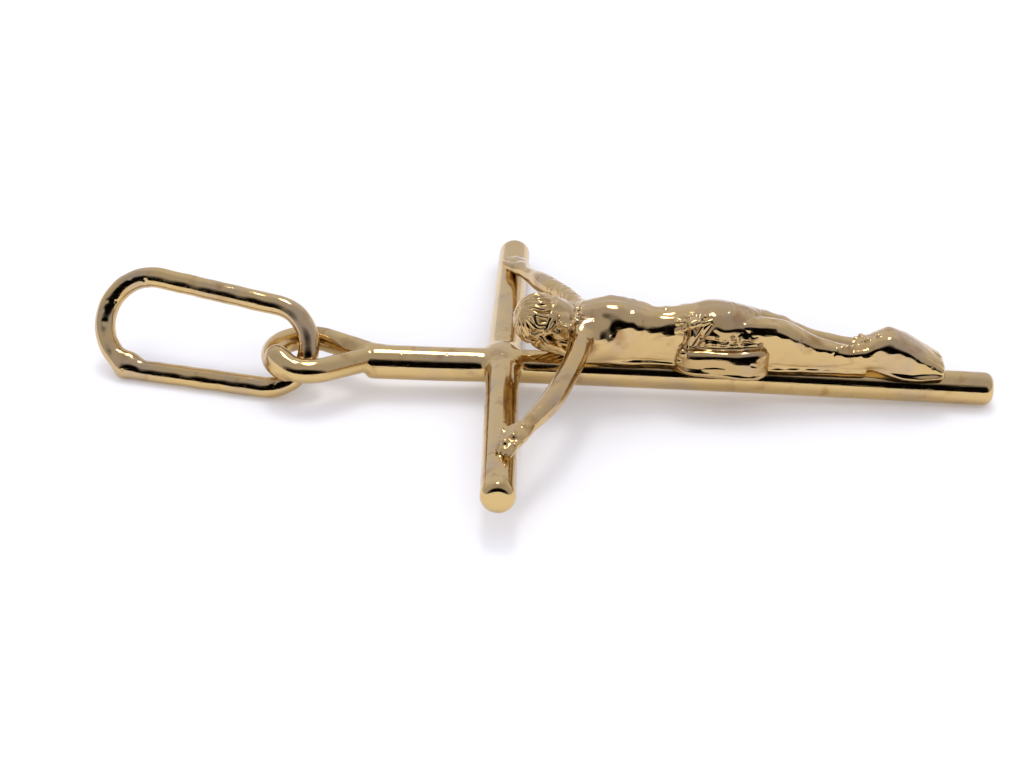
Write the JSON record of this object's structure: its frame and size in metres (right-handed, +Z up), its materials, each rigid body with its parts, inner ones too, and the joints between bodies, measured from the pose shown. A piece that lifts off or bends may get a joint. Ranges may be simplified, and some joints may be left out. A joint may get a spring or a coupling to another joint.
{
  "type": "crucifix pendant",
  "caption": "Cast figure soldered on a cross of round gold wire with a looped ring at the top and a loose oval bail link.",
  "frame": {"origin": "centre of the bounding box, on the surface that the pendant lies on", "axes": "+X along the post from the ring to the foot, +Y to the figure's left hand, +Z up, out of the face of the cross"},
  "size_m": [0.0354, 0.0204, 0.0047],
  "materials": {
    "gold": "polished yellow gold",
    "gold_link": "polished yellow gold"
  },
  "bodies": {
    "root": {"crucifix": "gold", "bail_link": "gold_link"}
  },
  "joints": []
}
